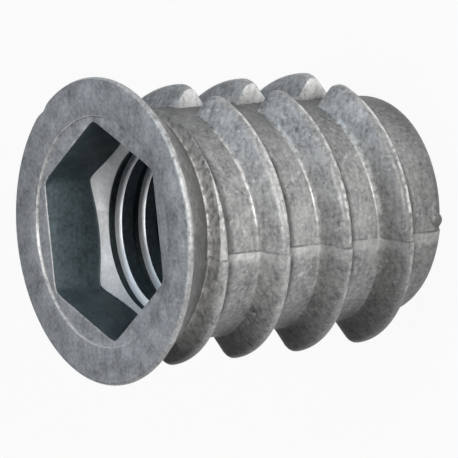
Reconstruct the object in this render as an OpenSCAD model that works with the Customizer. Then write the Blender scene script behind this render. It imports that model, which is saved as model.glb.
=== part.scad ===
// Screw-in threaded insert for wood, cast in one piece: a flange with a hexagon drive socket,
// a conical underside, a slightly tapered body with a coarse interrupted wood thread outside
// and a machine-thread bore inside. It stands on its lead end with the flange up, on the Z axis.

/* [Flange] */
// Diameter over the flange rim
flange_diameter = 16.2; // [15.2:0.1:24]
// Height of the rim, from the top face down to the conical underside
rim_height = 0.41; // [0.3:0.01:1.2]
// Rounding of the rim's top and bottom edges
rim_rounding = 0.19; // [0.02:0.01:0.36]
// Depth below the top face at which the conical underside ends
underside_depth = 2.54; // [1.4:0.01:4.8]

/* [Body] */
// Length from the lead end to the top face
overall_length = 18; // [16.8:0.1:36]
// Diameter of the body below the flange
body_top_diameter = 12.36; // [11.8:0.02:13.8]
// Diameter of the body at the lead end, before the rounding
body_end_diameter = 11.71; // [10.8:0.01:12.3]
// Height of the rounded edge of the lead end
lead_edge_height = 0.9; // [0.24:0.01:1.8]
// Inset of the rounded edge of the lead end
lead_edge_inset = 0.54; // [0.12:0.01:0.6]

/* [Drive socket] */
// Wall left between the hexagon's corners and the outside of the body
socket_wall = 0.37; // [0.24:0.01:0.9]
// Draft of the socket, as the amount by which each flat moves out from the floor to the mouth
hex_draft = 0.05; // [0:0.01:0.18]
// Angle of the hexagon's first corner about the axis
hex_angle = 30; // [0:1:60]
// Depth of the socket at the hexagon's corners
socket_depth = 2.89; // [1.2:0.01:6]
// Further depth of the sloping seat, from the corners down to the bore
seat_drop = 0.61; // [0.1:0.01:1.8]
// Width of the shallow round recess about the hexagon's corners
ring_width = 0.16; // [0.06:0.01:0.6]
// Depth of the shallow round recess about the mouth
ring_depth = 0.14; // [0.02:0.01:0.48]

/* [Machine thread] */
// Diameter of the bore at the crests of its machine thread
bore_diameter = 8.9; // [6:0.05:9]

/* [Wood thread] */
// Diameter over the crests of the wood thread
thread_diameter = 14.66; // [13.2:0.02:15]
// Pitch of the wood thread
thread_pitch = 3.98; // [3.4:0.01:4.3]
// Slope of each flank, measured from the radius
flank_angle = 35; // [20:1:40]
// Rounding of the crest
crest_rounding = 0.42; // [0.12:0.01:0.6]
// Depth of the first crest below the top face, on the side that faces +X
first_crest_depth = 2.6; // [1.8:0.01:4.2]
// Number of turns on the side that faces +X
turns = 4; // [2:1:4]
// Width, at the crests, of the lengthwise gap where the front ridges end
upper_gap_width = 1.86; // [0.6:0.02:4.8]
// Angle of that gap about the axis
upper_gap_angle = 73; // [60:0.5:85]
// Width, at the crests, of the lengthwise gap where the front ridges begin
lower_gap_width = 2.94; // [0.6:0.02:4.8]
// Angle of that gap about the axis
lower_gap_angle = -105; // [-115:0.5:-90]
// Amount by which the crest is lower where the thread begins
start_drop = 0.12; // [0:0.01:0.6]
// Amount by which the crest eases off at each end of a ridge
end_drop = 0.12; // [0:0.01:0.36]

/* [Gate stub] */
// Diameter of the stub left by the gate
stub_diameter = 0.84; // [0.36:0.02:1]
// Distance of the stub's tip from the axis
stub_reach = 5.95; // [5.88:0.01:6.6]
// Height of the stub's axis above the lead end
stub_height = 0.5; // [0.5:0.01:2.4]
// Angle of the stub about the axis
stub_angle = -11.5; // [-180:0.5:180]

/* [Hidden] */
zinc = [0.62, 0.62, 0.63];
$fn = 96;
overrun = 0.6;
root_sink = 0.36;
step_angle = 7;
arc_steps = 5;
crest_steps = 4;
start_turn = 80;
end_turn = 3;

flange_radius = flange_diameter / 2;
body_top_radius = body_top_diameter / 2;
body_end_radius = body_end_diameter / 2;
bore_radius = bore_diameter / 2;
thread_radius = thread_diameter / 2;
thread_root_radius = min(body_top_radius, body_end_radius) - root_sink;
end_face_radius = body_end_radius - lead_edge_inset;
underside_height = overall_length - underside_depth;
rim_bottom = overall_length - rim_height;
hex_floor_radius = body_top_radius - socket_wall;
hex_mouth_radius = hex_floor_radius + hex_draft / cos(30);
ring_radius = hex_mouth_radius + ring_width;
seat_depth = socket_depth + seat_drop;
upper_half_gap = asin(upper_gap_width / thread_diameter);
lower_half_gap = asin(lower_gap_width / thread_diameter);
front_start = lower_gap_angle + lower_half_gap;
front_end = upper_gap_angle - upper_half_gap;
back_start = upper_gap_angle + upper_half_gap;
back_end = lower_gap_angle + 360 - lower_half_gap;

// A quarter of an ellipse between two bearings, as points about a centre
function arc(centre, size, from, to) =
    [for (i = [0 : arc_steps])
        let (a = from + (to - from) * i / arc_steps)
        [centre[0] + size[0] * cos(a), centre[1] + size[1] * sin(a)]];

// Height of the crest of one turn at an angle about the axis
function crest_height(turn, angle) =
    overall_length - first_crest_depth - thread_pitch * (turn - angle / 360);

// Half section of the ridge as [radius, height], from its lower root over the crest to its upper root
function ridge_section(crest, height) =
    let (
        centre = crest - crest_rounding,
        tangent = 90 - flank_angle,
        flank_foot = crest_rounding * sin(tangent)
            + (centre + crest_rounding * cos(tangent) - thread_root_radius) * tan(flank_angle)
    )
    concat(
        [[thread_root_radius, height - flank_foot]],
        [for (i = [0 : crest_steps])
            let (a = tangent * (2 * i / crest_steps - 1))
            [centre + crest_rounding * cos(a), height + crest_rounding * sin(a)]],
        [[thread_root_radius, height + flank_foot]]);

// Crest radius along a ridge, lower at the beginning by the given drop and eased off at both ends
function crest_radius(angle, start, end, drop) =
    thread_radius
        - drop * max(0, 1 - (angle - start) / start_turn)
        - end_drop * pow(max(0, 1 - min(angle - start, end - angle) / end_turn), 2);

// Angles of a ridge's sections: even steps, with closer ones where the ends ease off
function ridge_angles(start, end) =
    let (steps = ceil((end - start - 2 * end_turn) / step_angle))
    concat(
        [start, start + end_turn / 2],
        [for (s = [0 : steps]) start + end_turn + (end - start - 2 * end_turn) * s / steps],
        [end - end_turn / 2, end]);

// One half-turn ridge of the wood thread, with flat ends
module ridge(turn, start, end, drop) {
    sections = [for (angle = ridge_angles(start, end))
        [for (p = ridge_section(crest_radius(angle, start, end, drop), crest_height(turn, angle)))
            [p[0] * cos(angle), p[0] * sin(angle), p[1]]]];
    steps = len(sections) - 1;
    count = len(sections[0]);
    polyhedron(
        points = [for (section = sections) each section],
        faces = concat(
            [[for (j = [count - 1 : -1 : 0]) j]],
            [[for (j = [0 : count - 1]) steps * count + j]],
            [for (s = [0 : steps - 1]) for (j = [0 : count - 1])
                [s * count + j, s * count + (j + 1) % count, (s + 1) * count + j]],
            [for (s = [0 : steps - 1]) for (j = [0 : count - 1])
                [(s + 1) * count + j, s * count + (j + 1) % count, (s + 1) * count + (j + 1) % count]]));
}

// Flange, conical underside and tapered body as one turned form
module turned_body() {
    top_inset = [flange_radius - rim_rounding, overall_length - rim_rounding];
    bottom_inset = [flange_radius - rim_rounding, rim_bottom + rim_rounding];
    lead_inset = [end_face_radius, lead_edge_height];
    rotate_extrude()
        polygon(concat(
            [[0, 0]],
            arc(lead_inset, [lead_edge_inset, lead_edge_height], -90, 0),
            [[body_top_radius, underside_height]],
            arc(bottom_inset, [rim_rounding, rim_rounding], -45, 0),
            arc(top_inset, [rim_rounding, rim_rounding], 0, 90),
            [[0, overall_length]]));
}

// The wood thread: front and back half-turn ridges, cut level where the conical underside ends
module wood_thread() {
    intersection() {
        ridge(0, front_start, front_end, 0);
        cylinder(h = underside_height, r = flange_radius);
    }
    for (turn = [1 : turns - 1]) {
        ridge(turn, front_start, front_end, turn == turns - 1 ? start_drop : 0);
        ridge(turn, back_start, back_end, 0);
    }
}

// Hexagon socket with a sloping seat, as the form to be cut away
module drive_socket() {
    intersection() {
        translate([0, 0, overall_length - seat_depth])
            rotate(hex_angle)
                cylinder(h = seat_depth, r1 = hex_floor_radius, r2 = hex_mouth_radius, $fn = 6);
        rotate_extrude()
            polygon([
                [0, overall_length - seat_depth],
                [bore_radius, overall_length - seat_depth],
                [hex_floor_radius, overall_length - socket_depth],
                [flange_radius, overall_length - socket_depth],
                [flange_radius, overall_length],
                [0, overall_length]]);
    }
    translate([0, 0, overall_length - ring_depth])
        cylinder(h = ring_depth + overrun, r = ring_radius);
}

// Stub of the gate on the edge of the lead end
module gate_stub() {
    rotate(stub_angle)
        translate([bore_radius + root_sink, 0, stub_height])
            rotate([0, 90, 0])
                cylinder(h = stub_reach - bore_radius - root_sink, d = stub_diameter, $fn = 32);
}

module insert() {
    color(zinc)
        difference() {
            union() {
                turned_body();
                wood_thread();
                gate_stub();
            }
            drive_socket();
            translate([0, 0, -overrun])
                cylinder(h = overall_length, d = bore_diameter);
        }
}

insert();
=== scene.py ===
"""Dresses the screw-in threaded insert: its casting and threads, their finishes, the light and the camera."""

import logging
import math
from collections.abc import Callable, Iterable
from dataclasses import dataclass, field
from enum import Enum

import bmesh
import bpy
from bmesh.types import BMesh, BMEdge, BMFace, BMVert
from mathutils import Matrix, Vector


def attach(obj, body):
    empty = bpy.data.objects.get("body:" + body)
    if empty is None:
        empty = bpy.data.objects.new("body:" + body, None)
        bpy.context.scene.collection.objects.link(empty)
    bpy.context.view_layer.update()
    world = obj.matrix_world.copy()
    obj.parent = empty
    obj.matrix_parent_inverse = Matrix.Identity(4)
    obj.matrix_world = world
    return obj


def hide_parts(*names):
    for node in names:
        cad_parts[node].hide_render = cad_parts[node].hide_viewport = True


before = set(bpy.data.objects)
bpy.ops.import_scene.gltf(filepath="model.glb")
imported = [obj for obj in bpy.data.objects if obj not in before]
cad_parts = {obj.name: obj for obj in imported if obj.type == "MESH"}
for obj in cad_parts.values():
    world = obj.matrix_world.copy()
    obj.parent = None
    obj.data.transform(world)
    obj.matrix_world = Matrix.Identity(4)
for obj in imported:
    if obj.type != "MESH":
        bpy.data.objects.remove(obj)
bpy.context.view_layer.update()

log = logging.getLogger("insert")
MM = 0.001
CM = 0.01
AXIS = Vector((0.0, 0.0, 1.0))
HALF_SIDE = 30.0  # half the angle that one side of a hexagon spans
SAME_POINT = 1e-8
ON_PLANE = 1e-7

Station = tuple[float, float]
Stops = tuple[Station, ...]
Triple = tuple[float, float, float]
Colour = tuple[float, float, float, float]


class Surface(Enum):
    """The finishes of the casting, each with its number among the mesh's materials."""

    CAST = 0
    # Darker copy of the cast zinc: painted shade in the socket and in the bore.
    SOCKET = 1
    TAPPED = 2
    # Near white: a painted reflection of the bright floor on the ridges' end faces.
    GAP_FACE_GLARE = 3
    # Lighter copy of the cast zinc: painted light on the seat.
    LIT_SEAT = 4
    FACE = 5


def polar(radius: float, angle: float, height: float) -> Vector:
    """Point about the axis.

    Args:
        radius: Distance from the axis in millimetres.
        angle: Bearing about the axis in degrees, from +X towards +Y.
        height: Height above the lead end in millimetres.

    Returns:
        The point in metres.
    """
    turn = math.radians(angle)
    return Vector((radius * math.cos(turn), radius * math.sin(turn), height)) * MM


def bearing(point: Vector) -> float:
    """Angle of a point about the axis, in degrees from +X."""
    return math.degrees(math.atan2(point.y, point.x))


def progress(value: float, start: float, end: float) -> float:
    """Share of the way that a number has come from a start to an end, from 0 to 1."""
    return min(max((value - start) / (end - start), 0.0), 1.0)


def bell(value: float, centre: float, spread: float) -> float:
    """Share that is 1 at a centre and falls off to both sides."""
    return math.exp(-((value - centre) / spread) ** 2)


def arc(centre: Station, radius: Station, start: float, end: float, steps: int) -> list[Station]:
    """Points of an elliptic arc in the plane of radius and height.

    Args:
        centre: Centre of the arc in millimetres.
        radius: Half axes of the ellipse in millimetres.
        start: First bearing in degrees.
        end: Last bearing in degrees.
        steps: Number of straight pieces.

    Returns:
        The points, from the first bearing to the last.
    """
    turns = (math.radians(start + (end - start) * i / steps) for i in range(steps + 1))
    return [(centre[0] + radius[0] * math.cos(t), centre[1] + radius[1] * math.sin(t)) for t in turns]


def parts_of(geometry: Iterable, kind: type) -> list:
    """The members of an operator's result that are of one kind."""
    return [item for item in geometry if isinstance(item, kind)]


def paint(faces: Iterable[BMFace], surface: Surface) -> None:
    """Gives faces the number of their finish."""
    for face in faces:
        face.material_index = surface.value


@dataclass
class FlangedBody:
    """Flange, tapered body, drive socket and plain bore, as one closed shell; lengths in millimetres.

    The corners of the fillet under the flange are given outwards and upwards from where cone and body meet.
    """

    length: float = 18.0
    flange_radius: float = 8.1
    rim_height: float = 0.41
    rim_rounding: float = 0.19
    rim_steps: int = 6
    underside_steps: int = 4
    underside_depth: float = 2.54
    fillet: tuple[Station, ...] = ((0.25, 0.245), (0.06, 0.05), (0.0, -0.08))
    top_radius: float = 6.18
    end_radius: float = 5.855
    ring_heights: tuple[float, ...] = (13.0, 10.0, 7.0, 4.0, 2.0, 1.8)
    lead_edge_height: float = 0.9
    lead_edge_inset: float = 0.54
    lead_edge_steps: int = 8
    hex_mouth_radius: float = 5.87
    hex_floor_radius: float = 5.81
    socket_depth: float = 2.89
    seat_depth: float = 3.5
    ring_radius: float = 6.03
    ring_depth: float = 0.14
    ring_edge: float = 0.1
    ring_edge_drop: float = 0.03
    bore_radius: float = 4.45
    bore_edge: float = 0.12
    lip: float = 0.06
    lip_middle: float = 0.3
    corner_wear: float = 0.08
    dent_angle: float = 123.5
    dent_depth: float = 0.13
    dent_spread: float = 2.6
    level_normal: float = 0.9
    columns: int = 192

    @property
    def underside_height(self) -> float:
        """Height at which the conical underside of the flange meets the body."""
        return self.length - self.underside_depth

    @property
    def recess_height(self) -> float:
        """Height of the shallow recess about the socket's mouth."""
        return self.length - self.ring_depth

    def radius_at(self, height: float) -> float:
        """Radius of the tapered body at a height."""
        share = (height - self.lead_edge_height) / (self.underside_height - self.lead_edge_height)
        return self.end_radius + (self.top_radius - self.end_radius) * share

    def seat_height(self, radius: float) -> float:
        """Height of the sloping seat under the socket at a radius."""
        slope = (self.seat_depth - self.socket_depth) / (self.hex_floor_radius - self.bore_radius)
        return self.length - self.seat_depth + (radius - self.bore_radius) * slope

    def outline(self) -> list[Station]:
        """Turned outline of the outside.

        Returns:
            Radius and height of each corner, from the recess over rim and body to the bore's lower edge.
        """
        rim = self.flange_radius - self.rim_rounding
        rim_bottom = self.length - self.rim_height
        rounding = (self.rim_rounding, self.rim_rounding)
        lead_centre = (self.end_radius - self.lead_edge_inset, self.lead_edge_height)
        lead_size = (self.lead_edge_inset, self.lead_edge_height)
        return [
            (self.ring_radius, self.recess_height),
            (self.ring_radius + self.ring_edge / 2, self.length - self.ring_edge_drop),
            (self.ring_radius + self.ring_edge, self.length),
            ((self.ring_radius + rim) / 2, self.length),
            *arc((rim, self.length - self.rim_rounding), rounding, 90, 0, self.rim_steps),
            *arc((rim, rim_bottom + self.rim_rounding), rounding, 0, -45, self.underside_steps),
            *((self.top_radius + out, self.underside_height + up) for out, up in self.fillet),
            *((self.radius_at(height), height) for height in self.ring_heights),
            *arc(lead_centre, lead_size, 0, -90, self.lead_edge_steps),
            (self.bore_radius + self.bore_edge, 0.0),
        ]

    def hexagon(self, angle: float, radius: float) -> float:
        """Distance from the axis to a hexagon with worn corners and a flat that faces +X.

        Args:
            angle: Bearing about the axis in degrees.
            radius: Radius at the corners before they were worn.

        Returns:
            The distance in millimetres.
        """
        off_flat = math.radians((angle + HALF_SIDE) % (2 * HALF_SIDE) - HALF_SIDE)
        flat = radius * math.cos(math.radians(HALF_SIDE)) / math.cos(off_flat)
        corner = radius - self.corner_wear
        return corner - math.log1p(math.exp((corner - flat) / self.corner_wear)) * self.corner_wear

    def mouth_edge(self, out: float, down: float) -> Callable[[float], Station]:
        """Course of a loop along the socket's mouth.

        Args:
            out: Distance outwards from the hexagon.
            down: Depth below the recess.

        Returns:
            A function that gives the loop's radius and height at an angle.
        """
        return lambda angle: (self.hexagon(angle, self.hex_mouth_radius) + out, self.recess_height - down)

    def wall_foot(self, inwards: float, up: float) -> Callable[[float], Station]:
        """Course of a loop along the foot of the socket's walls.

        Args:
            inwards: Distance inwards from the hexagon.
            up: Height above the seat.

        Returns:
            A function that gives the loop's radius and height at an angle.
        """
        def place(angle: float) -> Station:
            """Radius and height of the loop at an angle."""
            radius = self.hexagon(angle, self.hex_floor_radius) - inwards
            return radius, self.seat_height(radius) + up
        return place

    def grow(self, bm: BMesh, loop: list[BMEdge],
             place: Callable[[float], Station]) -> tuple[list[BMEdge], list[BMFace]]:
        """Extrudes an open loop and moves the new corners.

        Args:
            bm: Mesh that holds the loop.
            loop: Edges of the open loop.
            place: Radius and height of the new loop at an angle about the axis.

        Returns:
            The new open loop and the faces between the two.
        """
        made = bmesh.ops.extrude_edge_only(bm, edges=loop)["geom"]
        for vert in parts_of(made, BMVert):
            angle = bearing(vert.co)
            radius, height = place(angle)
            vert.co = polar(radius, angle, height)
        return [e for e in parts_of(made, BMEdge) if e.is_boundary], parts_of(made, BMFace)

    def build(self) -> BMesh:
        """Spins the outside, grows the socket and the bore inwards from the mouth, and closes the shell.

        Returns:
            The closed mesh, with the socket, the seat and the flange's face painted.
        """
        bm = bmesh.new()
        points = [bm.verts.new(polar(r, 0.0, z)) for r, z in self.outline()]
        line = [bm.edges.new(pair) for pair in zip(points, points[1:])]
        bmesh.ops.spin(bm, geom=points + line, axis=AXIS, angle=math.tau, steps=self.columns, use_merge=True)
        bmesh.ops.remove_doubles(bm, verts=bm.verts, dist=SAME_POINT)
        middle = self.length * MM / 2
        mouth = [e for e in bm.edges if e.is_boundary and e.verts[0].co.z > middle]
        foot = [e for e in bm.edges if e.is_boundary and e.verts[0].co.z < middle]
        lip, bore = self.lip, self.bore_radius
        rounded = lip * self.lip_middle
        loop, _ = self.grow(bm, mouth, self.mouth_edge(lip, 0.0))
        loop, _ = self.grow(bm, loop, self.mouth_edge(rounded, rounded))
        loop, _ = self.grow(bm, loop, self.mouth_edge(0.0, lip))
        loop, wall = self.grow(bm, loop, self.wall_foot(0.0, lip))
        loop, wall_fillet = self.grow(bm, loop, self.wall_foot(lip, 0.0))
        loop, seat = self.grow(bm, loop, lambda angle: (bore + lip, self.seat_height(bore + lip)))
        loop, seat_edge = self.grow(bm, loop, lambda angle: (bore, self.seat_height(bore) - lip))
        loop, bore_wall = self.grow(bm, loop, lambda angle: (bore, self.bore_edge))
        bmesh.ops.bridge_loops(bm, edges=loop + foot)
        # The socket's walls and the bore take the darker finish, painted shade.
        paint(wall + wall_fillet + bore_wall, Surface.SOCKET)
        # The seat takes the lighter finish, painted light.
        paint(seat + seat_edge, Surface.LIT_SEAT)
        self.dent(bm)
        bmesh.ops.recalc_face_normals(bm, faces=bm.faces)
        level = [face for face in bm.faces if face.normal.z > self.level_normal]
        recess = self.recess_height * MM - ON_PLANE
        paint([face for face in level if face.calc_center_median().z > recess], Surface.FACE)
        return bm

    def dent(self, bm: BMesh) -> None:
        """Presses a small dent into the rim.

        Args:
            bm: Mesh of the body.
        """
        for vert in bm.verts:
            if vert.co.xy.length > (self.flange_radius - 2 * self.rim_rounding) * MM:
                share = bell(bearing(vert.co), self.dent_angle, self.dent_spread)
                vert.co.xy -= vert.co.xy.normalized() * (self.dent_depth * MM * share)


@dataclass
class MachineThread:
    """Right-hand machine thread inside the bore; lengths in millimetres."""

    pitch: float = 1.5
    root_radius: float = 5.0
    root_flat: float = 0.1875
    root_rounding: float = 0.06
    root_middle: float = 0.5
    bright_radius: float = 4.8
    inner_radius: float = 3.95
    flank_angle: float = 30.0
    height_at_back: float = 14.06
    turns: int = 12
    turns_below: int = 11
    steps: int = 96

    def section(self) -> list[Station]:
        """Section of the groove.

        Returns:
            Radius and height of each corner, from the open bore into the rounded root and back.
        """
        half = self.root_flat / 2
        slope = math.tan(math.radians(self.flank_angle))
        radii = (self.inner_radius, self.bright_radius, self.root_radius - self.root_rounding)
        lower = [(r, -half - (self.root_radius - r) * slope) for r in radii]
        lower.append((self.root_radius, -half * self.root_middle))
        return lower + [(r, -z) for r, z in reversed(lower)]

    def build(self) -> BMesh:
        """Spins the section along the helix.

        Returns:
            The closed helical form that is cut out of the bore.
        """
        bm = bmesh.new()
        low = self.height_at_back - self.pitch * self.turns_below
        face = bm.faces.new([bm.verts.new(polar(r, 180.0, low + z)) for r, z in self.section()])
        rise = Vector((0.0, 0.0, self.pitch / self.steps * MM))
        bmesh.ops.spin(bm, geom=[face, *face.edges, *face.verts], axis=AXIS, dvec=rise,
                       angle=math.tau * self.turns, steps=self.turns * self.steps)
        bmesh.ops.recalc_face_normals(bm, faces=bm.faces)
        paint(bm.faces, Surface.TAPPED)
        deep = self.bright_radius * MM
        # The groove's deep part takes the socket's darker finish, painted shade.
        paint([f for f in bm.faces if f.calc_center_median().xy.length > deep], Surface.SOCKET)
        return bm


@dataclass
class WoodThread:
    """Coarse right-hand thread of half-turn ridges on the outside of the body; lengths in millimetres.

    The stops of the painted highlight and shadow lines give a place across one turn, where 0.5 is the crest,
    and a share.
    The root highlight's places count from the foot of the upper flank. The stops of the zones give a radius
    in centimetres.
    """

    crest_radius: float = 7.33
    pitch: float = 3.98
    lower_flank: float = 35.0
    upper_flank: float = 29.0
    crest_rounding: float = 0.42
    crest_steps: int = 5
    lower_root: float = 0.3
    upper_root: float = 0.15
    root_steps: int = 4
    sink: float = 0.36
    first_crest_depth: float = 2.6
    turns: int = 4
    front: Station = (-93.75, 65.625)
    back: Station = (80.625, 243.75)
    step: float = 1.875
    wrap_margin: float = 1.0
    start_drop: float = 0.12
    start_turn: float = 80.0
    end_drop: float = 0.2
    end_turn: float = 5.0
    end_rounding: float = 0.12
    end_segments: int = 3
    side_corners: int = 8
    crest_place: float = 0.5
    # Painted highlights along the crests' lower edges and in the upper roots, and painted shadow in the lower
    # roots:
    crest_glint: Stops = ((0.393, 0.0), (0.405, 1.0), (0.475, 1.0), (0.51, 0.0))
    root_glint: Stops = ((-0.05, 0.0), (-0.028, 1.0), (-0.008, 1.0), (0.017, 0.0))
    shadow_line: Stops = ((0.12, 0.0), (0.19, 0.9), (0.24, 0.9), (0.28, 0.0))
    crest_zone: Stops = ((0.7, 0.0), (0.715, 1.0))
    root_zone: Stops = ((0.625, 1.0), (0.655, 0.0))
    root_glint_weight: float = 0.6

    def flank(self, body_radius: float, slope: float, hollow: float) -> list[Station]:
        """One flank of a ridge, from the top of the crest to below its root.

        Args:
            body_radius: Radius of the body under the ridge.
            slope: Angle of the flank in degrees, measured from the radius.
            hollow: Radius of the hollow root.

        Returns:
            Radius and distance from the crest's height of each corner.
        """
        lean = math.radians(slope)
        centre = self.crest_radius - self.crest_rounding
        reach = centre + self.crest_rounding * math.sin(lean)
        touch = body_radius + hollow * (1.0 - math.sin(lean))
        foot = (self.crest_rounding + hollow) * math.cos(lean) + (reach - touch) * math.tan(lean)
        rounding = (self.crest_rounding, self.crest_rounding)
        crest = arc((centre, 0.0), rounding, 0.0, 90.0 - slope, self.crest_steps)
        root = arc((body_radius + hollow, foot), (hollow, hollow), 270.0 - slope, 180.0, self.root_steps)
        return [*crest, *root, (body_radius - self.sink, foot)]

    def section(self, body_radius: float) -> list[Station]:
        """Section of a ridge about its crest height, with rounded crest and hollow roots.

        Args:
            body_radius: Radius of the body under the ridge.

        Returns:
            Radius and height of each corner, from below the lower root over the crest to the upper root.
        """
        lower = self.flank(body_radius, self.lower_flank, self.lower_root)
        upper = self.flank(body_radius, self.upper_flank, self.upper_root)
        return [(radius, -height) for radius, height in reversed(lower[1:])] + upper

    def crest_height(self, body: FlangedBody, turn: int, angle: float) -> float:
        """Height of the crest of a turn at an angle about the axis."""
        return body.length - self.first_crest_depth - self.pitch * (turn - angle / 360.0)

    def ease(self, angle: float, span: Station, drop: float) -> float:
        """Amount by which a crest is lower at an angle.

        Args:
            angle: Bearing about the axis in degrees, within the ridge's span.
            span: First and last angle of the ridge.
            drop: Amount by which the ridge is lower where it begins.

        Returns:
            The amount in millimetres.
        """
        start, end = span
        near_end = max(0.0, 1.0 - min(angle - start, end - angle) / self.end_turn)
        return drop * max(0.0, 1.0 - (angle - start) / self.start_turn) + self.end_drop * near_end ** 2

    def lines(self, graph: "Graph", body: FlangedBody) -> tuple["Value", "Value"]:
        """Painted highlights and painted shadow that run along the ridges as lines.

        Args:
            graph: The graph of a finish.
            body: The body that carries the ridges.

        Returns:
            Share of painted highlight on the crests' lower edges and in the upper roots, and share of painted
            shadow in the lower roots.
        """
        x, y, z = graph.axes()
        radius = (x * x + y * y) ** 0.5 * (1.0 / CM)
        turn = graph.value("ShaderNodeMath", {"operation": "ARCTAN2"}, {0: y, 1: x}) * (1.0 / math.tau)
        above = z - self.crest_height(body, 0, 0.0) * MM
        place = (above * (1.0 / (self.pitch * MM)) - turn + self.crest_place).fraction()
        upper = self.flank(body.radius_at(body.length / 2), self.upper_flank, self.upper_root)
        foot = self.crest_place + upper[-1][1] / self.pitch
        low = graph.ramp(radius, self.root_zone)
        crest = graph.ramp(place, self.crest_glint) * graph.ramp(radius, self.crest_zone)
        root = graph.ramp(place, tuple((foot + off, share) for off, share in self.root_glint)) * low
        shadow = graph.ramp(place, self.shadow_line) * low
        return (crest + root * self.root_glint_weight) * graph.mark("wear"), shadow

    def ridge(self, body: FlangedBody, turn: int, span: Station) -> BMesh:
        """One half-turn ridge.

        Args:
            body: The body that carries it.
            turn: Number of the turn, from 0 under the flange.
            span: First and last angle about the axis.

        Returns:
            The closed ridge, with rounded ends.
        """
        bm = bmesh.new()
        start, end = span
        under = body.radius_at(self.crest_height(body, turn, (start + end) / 2))
        section = self.section(under)
        low = self.crest_height(body, turn, start)
        face = bm.faces.new([bm.verts.new(polar(r, start, low + z)) for r, z in section])
        rise = Vector((0.0, 0.0, self.pitch * self.step / 360.0 * MM))
        bmesh.ops.spin(bm, geom=[face, *face.edges, *face.verts], axis=AXIS, dvec=rise,
                       angle=math.radians(end - start), steps=round((end - start) / self.step))
        drop = self.start_drop if turn == self.turns - 1 and span == self.front else 0.0
        for vert in bm.verts:
            radius = vert.co.xy.length / MM
            share = max(0.0, (radius - under) / (self.crest_radius - under))
            angle = start + (bearing(vert.co) - start + self.wrap_margin) % 360.0 - self.wrap_margin
            taper = (1.0 - share) * (body.radius_at(vert.co.z / MM) - under)
            vert.co.xy = vert.co.xy * (1.0 + (taper - self.ease(angle, span, drop) * share) / radius)
        ends = [f for f in bm.faces if len(f.verts) == len(section)]
        edges = list(dict.fromkeys(e for f in ends for e in f.edges))
        bmesh.ops.bevel(bm, geom=edges, offset=self.end_rounding * MM, segments=self.end_segments,
                        profile=0.5, affect="EDGES", clamp_overlap=True, material=-1)
        paint(bm.faces, Surface.CAST)
        # The large end faces take the near-white finish, a painted reflection.
        paint([f for f in bm.faces if len(f.verts) > self.side_corners], Surface.GAP_FACE_GLARE)
        bmesh.ops.recalc_face_normals(bm, faces=bm.faces)
        return bm

    def level(self, bm: BMesh, height: float) -> None:
        """Cuts a ridge off level and closes the cut.

        Args:
            bm: Mesh of the ridge.
            height: Height of the cut.
        """
        cut = bmesh.ops.bisect_plane(bm, geom=[*bm.verts, *bm.edges, *bm.faces], dist=SAME_POINT,
                                     plane_co=(0.0, 0.0, height * MM), plane_no=AXIS, clear_outer=True)
        bmesh.ops.holes_fill(bm, edges=parts_of(cut["geom_cut"], BMEdge))
        bmesh.ops.recalc_face_normals(bm, faces=bm.faces)

    def build(self, body: FlangedBody) -> list[BMesh]:
        """All ridges: the first one is cut level where the conical underside ends.

        Args:
            body: The body that carries them.

        Returns:
            One closed mesh for each ridge.
        """
        first = self.ridge(body, 0, self.front)
        self.level(first, body.underside_height)
        spans = (self.front, self.back)
        return [first, *(self.ridge(body, turn, span) for turn in range(1, self.turns) for span in spans)]


@dataclass
class GateStub:
    """Stub of the gate on the rounded edge of the lead end; lengths in millimetres."""

    radius: float = 0.42
    reach: float = 5.95
    foot: float = 4.9
    height: float = 0.5
    angle: float = -11.5
    dome: float = 0.3
    dome_segments: int = 6
    sides: int = 32

    def build(self) -> BMesh:
        """A short rod that points outwards, with a domed end.

        Returns:
            The closed mesh.
        """
        bm = bmesh.new()
        depth = self.reach - self.foot
        bmesh.ops.create_cone(bm, cap_ends=True, segments=self.sides, radius1=self.radius * MM,
                              radius2=self.radius * MM, depth=depth * MM)
        rim = [e for e in bm.edges if all(v.co.z > 0 for v in e.verts)]
        bmesh.ops.bevel(bm, geom=rim, offset=self.dome * MM, segments=self.dome_segments, profile=0.5,
                        affect="EDGES", material=-1)
        place = (Matrix.Translation(polar(self.foot + depth / 2, self.angle, self.height))
                 @ Matrix.Rotation(math.radians(self.angle), 4, "Z") @ Matrix.Rotation(math.pi / 2, 4, "Y"))
        bmesh.ops.transform(bm, matrix=place, verts=bm.verts)
        return bm


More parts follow.
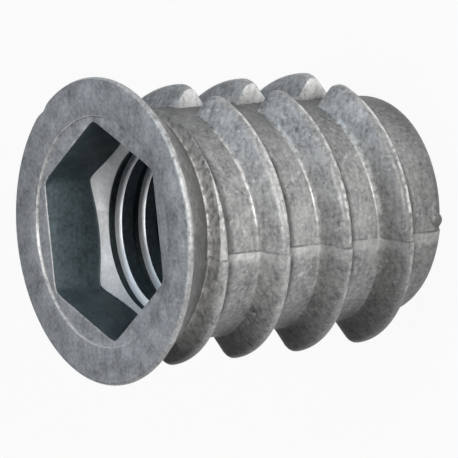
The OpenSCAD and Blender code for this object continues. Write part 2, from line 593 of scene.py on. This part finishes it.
@dataclass
class PartingLine:
    """Small step where the two halves of the die met; lengths in millimetres.

    The shift, the seam and the strip start at a share of the step's width below the parting plane.
    """

    angle: float = -16.9
    mismatch: float = 0.03
    edge_lift: float = 0.05
    lift_reach: float = 0.8
    width: float = 0.05
    shift_start: float = 0.9
    seam_reach: Station = (-0.2, 1.2)
    strip_start: float = 0.5
    strip_width: float = 0.62
    strip_edge: int = 4
    strip_on_ridge: float = 0.3
    ridge_radius: float = 6.35
    rim_radius: float = 7.7
    rim_height: float = 17.5
    socket_radius: float = 6.1
    socket_height: float = 14.3
    bore_radius: float = 5.15

    @property
    def upwards(self) -> Vector:
        """Direction across the parting plane, away from the lower half."""
        turn = math.radians(self.angle)
        return Vector((-math.sin(turn), math.cos(turn), 0.0))

    @property
    def along(self) -> Vector:
        """Direction from the axis to the near edge of the parting plane."""
        turn = math.radians(self.angle)
        return Vector((math.cos(turn), math.sin(turn), 0.0))

    @property
    def cuts(self) -> tuple[float, ...]:
        """Heights of the cuts above the parting plane."""
        return (self.width, 0.0, -self.width, -2 * self.width, -self.lift_reach / 2, -self.strip_width,
                -self.lift_reach)

    def outside(self, point: Vector) -> bool:
        """Tells the body and the wood thread from the socket, the bore and the rim.

        Args:
            point: A point of the casting.

        Returns:
            True for a point of the body or the wood thread.
        """
        radius, height = point.xy.length / MM, point.z / MM
        inside = self.socket_radius if height > self.socket_height else self.bore_radius
        return height < self.rim_height and inside < radius < self.rim_radius

    def build(self, bm: BMesh) -> None:
        """Cuts the outside along the parting plane and shifts the lower half.

        Args:
            bm: The whole casting.
        """
        for height in self.cuts:
            faces = [face for face in bm.faces if all(self.outside(vert.co) for vert in face.verts)]
            edges = dict.fromkeys(edge for face in faces for edge in face.edges)
            verts = dict.fromkeys(vert for face in faces for vert in face.verts)
            bmesh.ops.bisect_plane(bm, geom=[*verts, *edges, *faces], dist=ON_PLANE,
                                   plane_co=self.upwards * (height * MM), plane_no=self.upwards)
        for vert in bm.verts:
            below = self.below(vert.co)
            if below < self.width * self.shift_start or not self.outside(vert.co):
                continue
            near = vert.co.dot(self.along) > 0
            lift = self.edge_lift * math.exp(-below / self.lift_reach) if near else 0.0
            vert.co += self.along * ((self.mismatch + lift) * MM)

    def below(self, point: Vector) -> float:
        """Distance of a point below the parting plane, in millimetres."""
        return -point.dot(self.upwards) / MM

    def seam(self, point: Vector) -> float:
        """Share of the dark seam at a point."""
        first, last = self.seam_reach
        return float(first * self.width < self.below(point) < last * self.width and self.outside(point))

    def strip(self, point: Vector) -> float:
        """Lighter strip under the seam.

        Args:
            point: A point of the casting.

        Returns:
            The strip's share there.
        """
        below = self.below(point)
        if below < self.strip_start * self.width or point.dot(self.along) < 0 or not self.outside(point):
            return 0.0
        most = 1.0 if point.xy.length < self.ridge_radius * MM else self.strip_on_ridge
        return most * math.exp(-((below / self.strip_width) ** self.strip_edge))


@dataclass
class PaintedLight:
    """Base of the painted highlights and painted shade on the metal; lengths in millimetres and angles in
    degrees.
    """

    body: FlangedBody
    level_sink: float = 0.03
    level_depth: float = 0.01

    def on_level_face(self, point: Vector) -> bool:
        """True for a point of the first ridge's level face."""
        above_body = point.xy.length / MM > self.body.top_radius - self.level_sink
        return above_body and abs(point.z / MM - self.body.underside_height) < self.level_depth


@dataclass
class PaintedHighlights(PaintedLight):
    """Painted highlights: on the edges of the recess and the rim, along the cone's foot and on the first
    ridge's level face.
    """

    edge_width: float = 0.02
    face_depth: float = 0.05
    recess_share: float = 0.5
    fillet_share: float = 1.0
    fillet_width: float = 0.1
    rim_width: float = 0.08
    rim_span: Station = (-5.0, 45.0)
    rim_share: float = 0.25
    rim_least_share: float = 0.1
    level_middle: float = 10.0
    level_spread: float = 30.0
    level_share: float = 0.65
    level_least_share: float = 0.3

    def share(self, point: Vector) -> float:
        """Share of painted highlight.

        Args:
            point: A point of the casting.

        Returns:
            The share there.
        """
        body, angle = self.body, bearing(point)
        radius, height = point.xy.length / MM, point.z / MM
        if height > body.length - self.face_depth:
            off_edge = abs(radius - body.ring_radius - body.ring_edge / 2)
            return self.recess_share if off_edge < self.edge_width else 0.0
        fillet = body.underside_height + body.fillet[1][1]
        if abs(height - fillet) < self.edge_width and radius < body.top_radius + self.fillet_width:
            return self.fillet_share
        if height > fillet:
            # The rim's painted highlight is strongest on the near, upper side.
            first, last = self.rim_span
            most = self.rim_share if first < angle < last else self.rim_least_share
            return most if radius > body.flange_radius - self.rim_width else 0.0
        # The first ridge's level face carries a painted highlight, strongest near one bearing.
        if self.on_level_face(point):
            near_middle = bell(angle, self.level_middle, self.level_spread)
            return self.level_least_share + self.level_share * near_middle
        return 0.0


@dataclass
class PaintedShade(PaintedLight):
    """Painted shade: the far side of the flange's face, the cone under the flange, the valleys, the underside
    and the lead end.
    """

    face_depth: float = 0.2
    face_width: float = 1.2
    face_share: float = 0.55
    cone_start: float = 0.2
    cone_end: float = 0.3
    cone_radius: float = 6.3
    cone_share: float = 1.6
    wall: float = 0.3
    lead_height: float = 1.0
    level_share: float = 0.3
    valley_depth: float = 0.06
    valley_span: Station = (20.0, 70.0)
    valley_share: float = 1.2
    valley_least_share: float = 0.3
    underneath_middle: float = -95.0
    underneath_spread: float = 35.0
    underneath_share: float = 1.8
    underneath_valley_share: float = 2.4
    lower_height: float = 9.0
    lower_span: Station = (50.0, 10.0)
    lower_share: float = 1.2
    flank_height: float = 9.5
    flank_share: float = 0.45
    end_height: float = 2.6
    end_rise: float = 1.4
    end_span: Station = (20.0, 50.0)
    end_share: float = 0.7

    def share(self, point: Vector) -> float:
        """Share of painted shade.

        Args:
            point: A point of the casting.

        Returns:
            The share there; 1 and more where the painted shade is whole.
        """
        body = self.body
        radius, height = point.xy.length / MM, point.z / MM
        # Painted shade on the far side of the flange's face, and on the cone under the flange.
        if height > body.length - self.face_depth and radius > body.ring_radius - self.face_width:
            return max(0.0, -self.face_share * point.x / (radius * MM))
        if height > body.underside_height + self.cone_start:
            on_cone = self.cone_radius < radius < body.flange_radius and height < body.length - self.cone_end
            return self.cone_share if on_cone else 0.0
        if height > self.lead_height and radius < body.radius_at(height) - self.wall:
            return 0.0
        return self.level_share if self.on_level_face(point) else self.outside_share(point)

    def outside_share(self, point: Vector) -> float:
        """Share of painted shade on the body and the ridges.

        Args:
            point: A point of the body or a ridge.

        Returns:
            The share there.
        """
        angle, height = bearing(point), point.z / MM
        # Painted shade: in the valleys, more on the upper side; on the underside; towards the lead end on the
        # lower side; and over the lead end, more on the upper side.
        valley = lower_flank = 0.0
        underneath = self.underneath_share
        if abs(point.xy.length / MM - self.body.radius_at(height)) < self.valley_depth:
            valley = self.valley_least_share + self.valley_share * progress(angle, *self.valley_span)
            underneath = self.underneath_valley_share
        elif height < self.flank_height:
            lower_flank = self.flank_share
        underneath *= bell(angle, self.underneath_middle, self.underneath_spread)
        lower = self.lower_share * (1.0 - height / self.lower_height) + lower_flank
        end = min((self.end_height - height) / self.end_rise, 1.0)
        end *= 1.0 + self.end_share * progress(angle, *self.end_span)
        return max(valley, underneath, lower * progress(angle, *self.lower_span), end)


@dataclass
class HighlightReach(PaintedLight):
    """Reach of the painted highlights along the wood thread: whole on the upper side, where the light glints,
    weaker elsewhere.
    """

    lowest: float = 1.9
    span: Station = (-5.0, 50.0)
    side_start: float = -40.0
    side_share: float = 0.4
    least_share: float = 0.1

    def share(self, point: Vector) -> float:
        """Share of the painted highlights that reaches a point.

        Args:
            point: A point of the casting.

        Returns:
            The share there.
        """
        if not self.lowest < point.z / MM < self.body.underside_height + self.level_depth:
            return 0.0
        angle = bearing(point)
        first, last = self.span
        if first < angle < last:
            return 1.0
        return self.side_share if self.side_start < angle < last else self.least_share


@dataclass
class Insert:
    """The whole casting: body, both threads, the marks of the die, and the painted highlights and painted
    shade.
    """

    body: FlangedBody = field(default_factory=FlangedBody)
    machine_thread: MachineThread = field(default_factory=MachineThread)
    wood_thread: WoodThread = field(default_factory=WoodThread)
    gate_stub: GateStub = field(default_factory=GateStub)
    parting_line: PartingLine = field(default_factory=PartingLine)
    sharp_angle: float = 32.0

    def merge(self, forms: list[BMesh]) -> BMesh:
        """Puts closed forms that stand apart into one mesh.

        Args:
            forms: The closed meshes, which are used up.

        Returns:
            One mesh with all of them.
        """
        merged = bmesh.new()
        for form in forms:
            mesh = bpy.data.meshes.new("form")
            form.to_mesh(mesh)
            form.free()
            merged.from_mesh(mesh)
            bpy.data.meshes.remove(mesh)
        return merged

    def join(self, shell: BMesh, raised: BMesh, groove: BMesh) -> BMesh:
        """Joins the raised forms to the shell and cuts the groove out of it.

        Args:
            shell: Closed mesh of the body.
            raised: Closed meshes of the ridges and the stub.
            groove: Closed mesh of the machine thread's groove.

        Returns:
            The casting as one closed mesh.
        """
        slots = [bpy.data.materials.new(surface.name) for surface in Surface]
        solids = []
        for name, bm in (("body", shell), ("raised", raised), ("groove", groove)):
            mesh = bpy.data.meshes.new(name)
            bm.to_mesh(mesh)
            bm.free()
            for slot in slots:
                mesh.materials.append(slot)
            solids.append(bpy.data.objects.new(name, mesh))
            bpy.context.collection.objects.link(solids[-1])
        for solid, operation in zip(solids[1:], ("UNION", "DIFFERENCE")):
            boolean = solids[0].modifiers.new(solid.name, "BOOLEAN")
            boolean.operation, boolean.solver, boolean.object = operation, "EXACT", solid
            boolean.material_mode = "INDEX"
        graph = bpy.context.evaluated_depsgraph_get()
        result = bpy.data.meshes.new_from_object(solids[0].evaluated_get(graph))
        joined = bmesh.new()
        joined.from_mesh(result)
        for mesh in [result, *(solid.data for solid in solids)]:
            bpy.data.meshes.remove(mesh)
        for slot in slots:
            bpy.data.materials.remove(slot)
        return joined

    def build(self) -> bpy.types.Object:
        """Joins all forms into one mesh and hangs it on the frame in place of the CAD node.

        Returns:
            The finished piece, without its finishes.
        """
        raised = self.merge([*self.wood_thread.build(self.body), self.gate_stub.build()])
        bm = self.join(self.body.build(), raised, self.machine_thread.build())
        self.parting_line.build(bm)
        bmesh.ops.remove_doubles(bm, verts=bm.verts, dist=ON_PLANE)
        bmesh.ops.recalc_face_normals(bm, faces=bm.faces)
        mesh = bpy.data.meshes.new("insert_casting")
        bm.to_mesh(mesh)
        bm.free()
        self.mark(mesh)
        mesh.shade_smooth()
        mesh.set_sharp_from_angle(angle=math.radians(self.sharp_angle))
        piece = bpy.data.objects.new("insert_casting", mesh)
        bpy.context.collection.objects.link(piece)
        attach(piece, "root")
        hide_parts("insert")
        return piece

    def mark(self, mesh: bpy.types.Mesh) -> None:
        """Writes the marks of the die, the painted highlights and the painted shade to the mesh's points.

        Args:
            mesh: Mesh of the casting.
        """
        kinds = {"rubbed": PaintedHighlights, "dull": PaintedShade, "wear": HighlightReach}
        marks = {name: kind(self.body).share for name, kind in kinds.items()}
        marks |= {"seam": self.parting_line.seam, "strip": self.parting_line.strip}
        for name, share in marks.items():
            layer = mesh.attributes.new(name, "FLOAT", "POINT")
            layer.data.foreach_set("value", [share(vert.co) for vert in mesh.vertices])

    def dress(self, piece: bpy.types.Object) -> None:
        """Gives the piece its finishes, in the order of their numbers."""
        for surface in Surface:
            piece.data.materials.append(FINISHES[surface].material(self.body, self.wood_thread))


class Value:
    """A number in a shader graph that takes part in Python arithmetic."""

    def __init__(self, graph: "Graph", socket: bpy.types.NodeSocket) -> None:
        """Wraps a socket.

        Args:
            graph: The graph that the socket belongs to.
            socket: The socket that gives the number.
        """
        self.graph, self.socket = graph, socket

    def _math(self, operation: str, first: "Value | float", second: "Value | float") -> "Value":
        """Adds a Math node."""
        return self.graph.value("ShaderNodeMath", {"operation": operation}, {0: first, 1: second})

    def __add__(self, other: "Value | float") -> "Value":
        """Sum."""
        return self._math("ADD", self, other)

    __radd__ = __add__

    def __sub__(self, other: "Value | float") -> "Value":
        """Difference."""
        return self._math("SUBTRACT", self, other)

    def __rsub__(self, other: "Value | float") -> "Value":
        """Difference with the number on the left."""
        return self._math("SUBTRACT", other, self)

    def __mul__(self, other: "Value | float") -> "Value":
        """Product."""
        return self._math("MULTIPLY", self, other)

    __rmul__ = __mul__

    def __pow__(self, other: "Value | float") -> "Value":
        """Power."""
        return self._math("POWER", self, other)

    def fraction(self) -> "Value":
        """What is left over the next lower whole number."""
        return self._math("FRACT", self, 0.0)


class Graph:
    """The node graph of one material."""

    # Numbers of the Mix node's colour sockets, because several of its sockets share a name
    MIX_FIRST, MIX_SECOND, MIX_RESULT = 6, 7, 2

    def __init__(self, material: bpy.types.Material) -> None:
        """Empties a material's graph.

        Args:
            material: The material to work on.
        """
        material.use_nodes = True
        self.tree = material.node_tree
        self.tree.nodes.clear()

    def node(self, kind: str, settings: dict | None = None, sockets: dict | None = None) -> bpy.types.Node:
        """Adds a node.

        Args:
            kind: Type of the node.
            settings: Properties of the node, which are set first; a ramp takes its stops as "stops".
            sockets: Values or links of its inputs, by name or number.

        Returns:
            The node.
        """
        made = self.tree.nodes.new(kind)
        for name, value in (settings or {}).items():
            if name == "stops":
                stops = made.color_ramp.elements
                while len(stops) < len(value):
                    stops.new(1.0)
                for stop, (place, shade) in zip(stops, value):
                    stop.position, stop.color = place, (shade, shade, shade, 1.0)
            else:
                setattr(made, name, value)
        for key, value in (sockets or {}).items():
            source = value.socket if isinstance(value, Value) else value
            if isinstance(source, bpy.types.NodeSocket):
                self.tree.links.new(source, made.inputs[key])
            else:
                made.inputs[key].default_value = source
        return made

    def value(self, kind: str, settings: dict | None = None, sockets: dict | None = None,
              out: int | str = 0) -> Value:
        """Adds a node and wraps one of its outputs as a number."""
        return Value(self, self.node(kind, settings, sockets).outputs[out])

    def noise(self, size: float, detail: float = 2.0, roughness: float = 0.6,
              squeeze: Triple = (1.0, 1.0, 1.0)) -> Value:
        """Cloudy pattern in the piece's own coordinates.

        Args:
            size: Width of a patch in millimetres.
            detail: Number of finer layers.
            roughness: Share of each finer layer.
            squeeze: Scale along each axis; a low one draws the pattern out.

        Returns:
            The pattern, about 0.5 on average.
        """
        place = self.node("ShaderNodeTexCoord").outputs["Object"]
        mapped = self.node("ShaderNodeMapping", None, {"Vector": place, "Scale": squeeze})
        return self.value("ShaderNodeTexNoise", None, {
            "Vector": mapped.outputs[0], "Scale": 1.0 / (size * MM), "Detail": detail,
            "Roughness": roughness})

    def axes(self) -> tuple[Value, Value, Value]:
        """Splits the piece's own coordinates.

        Returns:
            The three coordinates in metres.
        """
        place = self.node("ShaderNodeTexCoord").outputs["Object"]
        x, y, z = self.node("ShaderNodeSeparateXYZ", None, {0: place}).outputs
        return Value(self, x), Value(self, y), Value(self, z)

    def mark(self, name: str) -> Value:
        """Share that the mesh holds at each point under a name."""
        return self.value("ShaderNodeAttribute", {"attribute_name": name}, None, "Fac")

    def ramp(self, value: Value, stops: Stops) -> Value:
        """Maps a number through straight steps."""
        return self.value("ShaderNodeValToRGB", {"stops": stops}, {0: value})

    def blend(self, share: "Value | float", first: "Colour | bpy.types.NodeSocket", second: Colour,
              way: str = "MIX") -> bpy.types.NodeSocket:
        """Colour between two colours.

        Args:
            share: Share of the second colour.
            first: Colour or link at a share of 0.
            second: Colour at a share of 1.
            way: How the second colour is laid over the first.

        Returns:
            The blended colour.
        """
        mix = self.node("ShaderNodeMix", {"data_type": "RGBA", "blend_type": way},
                        {0: share, self.MIX_FIRST: first, self.MIX_SECOND: second})
        return mix.outputs[self.MIX_RESULT]


def grey(shade: float, tint: float = 0.0) -> Colour:
    """Grey colour, cooler for a positive tint and warmer for a negative one."""
    return shade * (1.0 - tint), shade, shade * (1.0 + tint), 1.0


@dataclass(frozen=True)
class CastGrain:
    """Patterns that all finishes of the casting share; sizes in millimetres.

    The stops give the strength of a pattern and the share that it stands for.
    """

    cloud_size: float = 1.1
    cloud_detail: float = 3.0
    speckle_size: float = 0.2
    streak_size: float = 0.22
    streak_squeeze: Triple = (1.0, 0.3, 1.0)
    pit_size: float = 0.3
    nick_size: float = 0.34
    nick_squeeze: Triple = (0.9, 1.1, 1.0)
    spot_detail: float = 1.0
    spot_roughness: float = 0.4
    spot_stops: Stops = ((0.66, 0.0), (0.74, 1.0))
    break_size: float = 0.35
    break_stops: Stops = ((0.38, 0.1), (0.58, 1.0))

    def cloud(self, graph: Graph) -> Value:
        """Wide patches."""
        return graph.noise(self.cloud_size, self.cloud_detail)

    def speckle(self, graph: Graph) -> Value:
        """Fine specks."""
        return graph.noise(self.speckle_size)

    def streak(self, graph: Graph) -> Value:
        """Fine specks that are drawn out."""
        return graph.noise(self.streak_size, squeeze=self.streak_squeeze)

    def pits(self, graph: Graph) -> Value:
        """Share of small dark pits."""
        spots = graph.noise(self.pit_size, self.spot_detail, self.spot_roughness)
        return graph.ramp(spots, self.spot_stops)

    def nicks(self, graph: Graph) -> Value:
        """Share of small bright nicks."""
        spots = graph.noise(self.nick_size, self.spot_detail, self.spot_roughness, self.nick_squeeze)
        return graph.ramp(spots, self.spot_stops)

    def unbroken(self, graph: Graph) -> Value:
        """Share of painted highlight that small breaks leave."""
        return graph.ramp(graph.noise(self.break_size), self.break_stops)


@dataclass(frozen=True)
class Marking:
    """Colours of the nicks and the die's marks, of the painted shade and the painted highlights, and their
    shares over the wide patches.
    """

    nick: Colour = grey(0.85)
    nick_share: float = 0.7
    # Colour and patchiness of the painted shade.
    shade_colour: Colour = grey(0.34, -0.01)
    shade_patch_stops: Stops = ((0.3, 0.35), (0.7, 0.75))
    strip: Colour = grey(0.19)
    # Colour and strength of the painted highlights, which are also made less rough.
    rubbed: Colour = grey(0.92, -0.015)
    highlight_strength: float = 0.85
    highlight_smoothing: float = 0.2
    seam: Colour = grey(0.08)
    seam_stops: Stops = ((0.4, 0.05), (0.62, 0.6))


@dataclass(frozen=True)
class ZincFinish:
    """A surface of the zinc casting; lengths in millimetres."""

    name: str
    dark: Colour
    light: Colour
    metallic: float = 0.3
    specular: float = 0.3
    roughness: float = 0.5
    roughness_spread: float = 0.3
    cloud_share: float = 0.75
    speckle_share: float = 0.7
    streak_share: float = 0.65
    shade_stops: Stops = ((0.1, 0.0), (0.9, 1.0))
    pit_share: float = 0.5
    # Share of the wood thread's painted highlight and shadow lines.
    line_share: float = 0.0
    grain_height: float = 0.015
    grain_shares: Triple = (0.6, 0.4, 0.4)
    grain: CastGrain = CastGrain()
    marking: Marking = Marking()

    def material(self, body: FlangedBody, thread: WoodThread) -> bpy.types.Material:
        """Makes the material: cloudy and speckled colour, uneven gloss, painted highlights and painted shade,
        and a fine cast grain.

        Args:
            body: The body of the casting.
            thread: The wood thread, which carries painted highlight and painted shadow lines.

        Returns:
            The material.
        """
        made = bpy.data.materials.new(self.name)
        graph = Graph(made)
        grain, marking = self.grain, self.marking
        cloud, speckle, streak = grain.cloud(graph), grain.speckle(graph), grain.streak(graph)
        pits, rubbed = grain.pits(graph), graph.mark("rubbed")
        shade = (0.5 + (cloud - 0.5) * self.cloud_share + (speckle - 0.5) * self.speckle_share
                 + (streak - 0.5) * self.streak_share)
        base = graph.blend(graph.ramp(shade, self.shade_stops), self.dark, self.light)
        base = graph.blend(pits * self.pit_share, base, self.dark)
        base = graph.blend(grain.nicks(graph) * self.pit_share * marking.nick_share, base, marking.nick)
        # Painted shade, broken into wide patches.
        shade_amount = graph.mark("dull") * graph.ramp(cloud, marking.shade_patch_stops)
        base = graph.blend(shade_amount, base, marking.shade_colour, "MULTIPLY")
        # Painted highlight and painted shadow lines along the wood thread.
        if self.line_share:
            line_glints, shadow = thread.lines(graph, body)
            rubbed = rubbed + line_glints * self.line_share
            base = graph.blend(shadow * self.line_share, base, marking.shade_colour, "MULTIPLY")
        rubbed = rubbed * grain.unbroken(graph)
        base = graph.blend(graph.mark("strip"), base, marking.strip, "ADD")
        # Painted highlights over the base colour.
        base = graph.blend(rubbed * marking.highlight_strength, base, marking.rubbed)
        base = graph.blend(graph.mark("seam") * graph.ramp(cloud, marking.seam_stops), base, marking.seam)
        gloss = self.roughness + (speckle - 0.5) * self.roughness_spread - rubbed * marking.highlight_smoothing
        fine, drawn, deep = self.grain_shares
        bump = graph.node("ShaderNodeBump", None, {
            "Height": speckle * fine + streak * drawn - pits * deep,
            "Distance": self.grain_height * MM, "Strength": 1.0})
        shader = graph.node("ShaderNodeBsdfPrincipled", None, {
            "Base Color": base, "Roughness": gloss, "Metallic": self.metallic,
            "Specular IOR Level": self.specular, "Normal": bump.outputs[0]})
        graph.node("ShaderNodeOutputMaterial", None, {0: shader.outputs[0]})
        return made


FINISHES: dict[Surface, ZincFinish] = {
    Surface.CAST: ZincFinish("zinc_as_cast", grey(0.12, 0.01), grey(0.64), line_share=1.0),
    # Socket and bore: painted shade, much darker than the cast zinc.
    Surface.SOCKET: ZincFinish("zinc_socket_wall_painted_shade", (0.022, 0.03, 0.034, 1.0), (0.1, 0.135, 0.15, 1.0),
                               roughness=0.45, speckle_share=0.8, streak_share=0.3, pit_share=0.0),
    Surface.TAPPED: ZincFinish("zinc_tapped", grey(0.85, 0.02), grey(1.0, 0.01), metallic=0.2, roughness=0.3,
                               roughness_spread=0.1, cloud_share=0.4, speckle_share=0.3, streak_share=0.3,
                               pit_share=0.0, grain_height=0.002),
    # Gap faces: near white, a painted reflection of the bright floor.
    Surface.GAP_FACE_GLARE: ZincFinish("zinc_gap_face_painted_glare", grey(0.5), grey(1.0), metallic=0.4, roughness=0.3,
                                 cloud_share=1.2, streak_share=1.1, pit_share=0.0, grain_height=0.008),
    # Seat: painted light, lighter than the cast zinc.
    Surface.LIT_SEAT: ZincFinish("zinc_seat_painted_light", grey(0.38), grey(0.66), roughness=0.42, speckle_share=0.6,
                             streak_share=0.4, pit_share=0.2, grain_height=0.008),
    Surface.FACE: ZincFinish("zinc_flange_face", grey(0.12, 0.03), grey(0.42, 0.03), cloud_share=1.2,
                             speckle_share=0.9, streak_share=0.4, pit_share=0.15, grain_height=0.014),
}


@dataclass(frozen=True)
class Softbox:
    """A square studio lamp that faces the insert; lengths in metres, level 1 makes a white sheet white."""

    name: str
    direction: Triple
    distance: float
    size: float
    level: float
    colour: Triple

    def build(self, target: Vector) -> None:
        """Hangs the lamp.

        Args:
            target: The point that it faces.
        """
        data = bpy.data.lights.new(self.name, "AREA")
        data.size, data.color = self.size, self.colour
        data.energy = self.level * (math.pi * self.distance) ** 2
        lamp = bpy.data.objects.new(self.name, data)
        towards = Vector(self.direction).normalized()
        lamp.location = target + towards * self.distance
        lamp.rotation_euler = towards.to_track_quat("Z", "Y").to_euler()
        bpy.context.collection.objects.link(lamp)


@dataclass
class Studio:
    """Pale floor, soft lamps and the camera; the floor's size and the clipping are in metres."""

    ambient: float = 0.03
    floor_glow: float = 0.94
    floor_shade: float = 0.35
    floor_size: float = 3.0
    floor_drop: float = 0.02
    tilt: float = 56.046
    roll: float = -5.71
    distance: float = 522.5
    focal_pixels: float = 9988.6
    face_pixel: Station = (100.874, 231.757)
    frame_pixels: int = 458
    sensor_width: float = 36.0
    clipping: Station = (0.01, 20.0)
    lamps: tuple[Softbox, ...] = (
        Softbox("key", (0.55, 0.5, 0.67), 0.35, 0.16, 0.16, (1.0, 0.98, 0.93)),
        Softbox("front", (0.96, 0.1, 0.25), 0.35, 0.14, 0.84, (1.0, 0.99, 0.97)),
        Softbox("sky", (0.05, 0.6, 0.8), 0.35, 0.2, 0.18, (0.52, 0.76, 1.0)),
        Softbox("back", (-0.71, 0.0, 0.71), 0.35, 0.25, 0.12, (0.9, 0.92, 1.0)),
        Softbox("face", (0.03, 0.0, 1.0), 0.35, 0.15, 0.5, (0.97, 0.98, 1.0)),
    )

    def floor(self) -> None:
        """Lays the floor: white to the eye and in reflections, with the insert's shadow on it."""
        bm = bmesh.new()
        bmesh.ops.create_grid(bm, x_segments=1, y_segments=1, size=self.floor_size)
        bmesh.ops.translate(bm, vec=(0.0, 0.0, -self.floor_drop * MM), verts=bm.verts)
        mesh = bpy.data.meshes.new("floor")
        bm.to_mesh(mesh)
        bm.free()
        sheet = bpy.data.objects.new("floor", mesh)
        bpy.context.collection.objects.link(sheet)
        material = bpy.data.materials.new("floor_white")
        graph = Graph(material)
        paths = graph.node("ShaderNodeLightPath")
        seen = (Value(graph, paths.outputs["Is Camera Ray"]) + Value(graph, paths.outputs["Is Glossy Ray"])
                + Value(graph, paths.outputs["Is Transmission Ray"]))
        matt = graph.node("ShaderNodeBsdfDiffuse", None, {"Color": grey(self.floor_shade)})
        glow = graph.node("ShaderNodeEmission", None, {"Color": grey(1.0), "Strength": 1.0})
        mix = graph.node("ShaderNodeMixShader", None,
                         {0: seen * self.floor_glow, 1: matt.outputs[0], 2: glow.outputs[0]})
        graph.node("ShaderNodeOutputMaterial", None, {0: mix.outputs[0]})
        mesh.materials.append(material)

    def world(self) -> None:
        """Fills the room with an even soft light."""
        room = bpy.data.worlds.new("room")
        room.use_nodes = True
        background = room.node_tree.nodes["Background"]
        background.inputs["Color"].default_value = grey(1.0)
        background.inputs["Strength"].default_value = self.ambient
        bpy.context.scene.world = room

    def camera(self, face: Vector) -> None:
        """Sets the camera so that the drive face's centre falls on its pixel.

        Args:
            face: Centre of the flange's face in metres.
        """
        tilt, roll = math.radians(self.tilt), math.radians(self.roll)
        forward = Vector((-math.sin(tilt), 0.0, -math.cos(tilt)))
        level = Vector((math.cos(tilt), 0.0, -math.sin(tilt)))
        upright = Vector((0.0, 1.0, 0.0))
        right = level * math.cos(roll) + upright * math.sin(roll)
        up = upright * math.cos(roll) - level * math.sin(roll)
        middle = self.frame_pixels / 2
        aim = (forward * self.focal_pixels + right * (middle - self.face_pixel[0])
               + up * (self.face_pixel[1] - middle)).normalized()
        right = (right - aim * right.dot(aim)).normalized()
        up = right.cross(aim)
        data = bpy.data.cameras.new("camera")
        data.sensor_width = self.sensor_width
        data.lens = self.focal_pixels / self.frame_pixels * self.sensor_width
        data.clip_start, data.clip_end = self.clipping
        eye = bpy.data.objects.new("camera", data)
        turn = Matrix((right, up, -aim)).transposed()
        eye.matrix_world = Matrix.Translation(face - forward * (self.distance * MM)) @ turn.to_4x4()
        bpy.context.collection.objects.link(eye)
        bpy.context.scene.camera = eye

    def build(self, body: FlangedBody) -> None:
        """Sets up the floor, the light and the camera about the insert.

        Args:
            body: The body of the casting.
        """
        bpy.context.scene.view_settings.view_transform = "Standard"
        self.floor()
        self.world()
        for lamp in self.lamps:
            lamp.build(Vector((0.0, 0.0, body.length / 2 * MM)))
        self.camera(Vector((0.0, 0.0, body.length * MM)))


def main() -> None:
    """Builds the insert, dresses it, and sets up the studio."""
    logging.basicConfig(level=logging.INFO, format="%(name)s: %(message)s")
    insert = Insert()
    piece = insert.build()
    insert.dress(piece)
    log.info("%s: %d faces, finishes %s", piece.name, len(piece.data.polygons),
             ", ".join(material.name for material in piece.data.materials))
    Studio().build(insert.body)
    log.info("studio: floor, lamps and camera")


if __name__ == "__main__":
    main()
